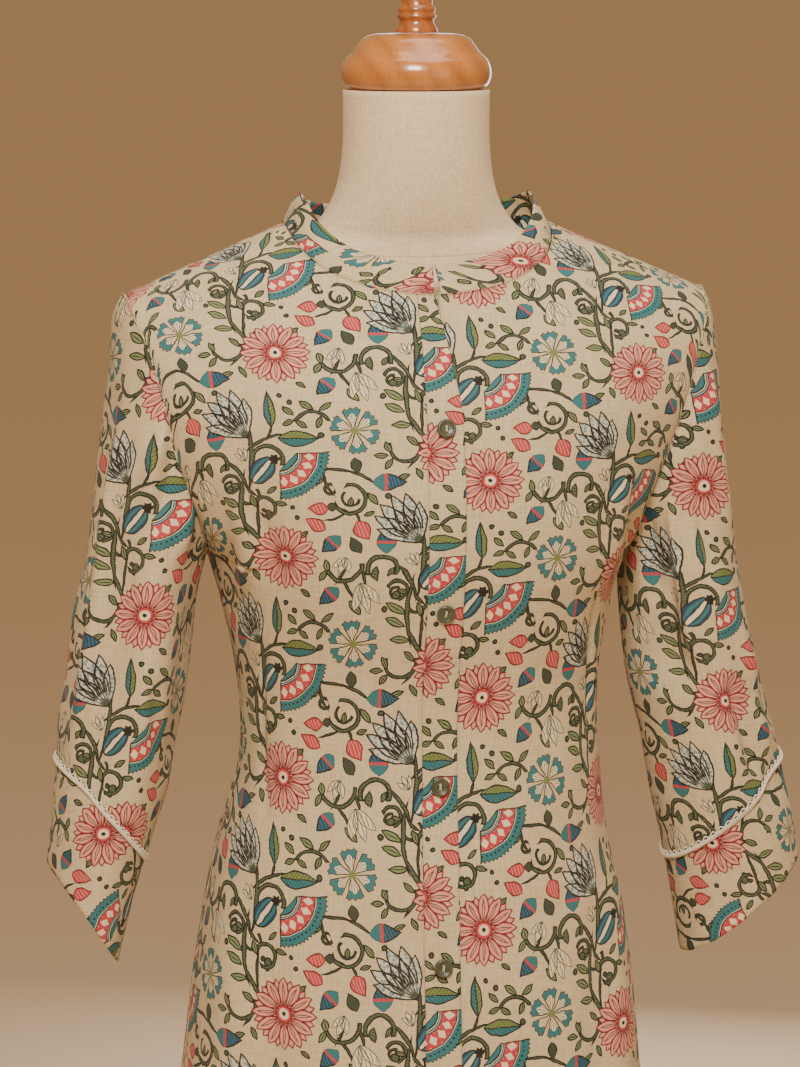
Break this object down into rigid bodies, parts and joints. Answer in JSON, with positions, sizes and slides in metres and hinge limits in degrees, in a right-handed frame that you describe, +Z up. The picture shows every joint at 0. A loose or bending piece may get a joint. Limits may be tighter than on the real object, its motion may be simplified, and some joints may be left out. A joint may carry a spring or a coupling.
{
  "type": "kurta tunic on dress form",
  "caption": "Knee-length printed cotton kurta with a band collar, buttoned front band, slanted cuffs and side slits, worn by a limbless dress form on a turned stand.",
  "frame": {"origin": "centre of the underside of the stand's round foot", "axes": "+Z up the stand, -Y out of the tunic's front, +X towards the wearer's left"},
  "size_m": [0.5577, 0.38, 1.645],
  "materials": {
    "printed_cotton": "matte slub cotton, warm beige with a floral block print",
    "crochet_trim": "off-white crochet edging",
    "form_linen": "matte off-white speckled linen",
    "cap_wood": "glossy orange-tan varnish",
    "stand_wood": "satin brown varnish",
    "button_horn": "olive-brown, softly polished"
  },
  "bodies": {
    "root": {"front_right": "printed_cotton", "front_left": "printed_cotton", "back": "printed_cotton", "front_band": "printed_cotton", "collar": "printed_cotton", "sleeve_right": "printed_cotton", "cuff_right": "printed_cotton", "sleeve_left": "printed_cotton", "cuff_left": "printed_cotton", "cuff_trim_right": "crochet_trim", "cuff_trim_left": "crochet_trim", "button_1": "button_horn", "button_2": "button_horn", "button_3": "button_horn", "button_4": "button_horn", "button_5": "button_horn", "button_6": "button_horn", "form_body": "form_linen", "neck_cap": "cap_wood", "finial": "cap_wood", "stand_pole": "stand_wood", "stand_foot": "stand_wood"}
  },
  "joints": []
}
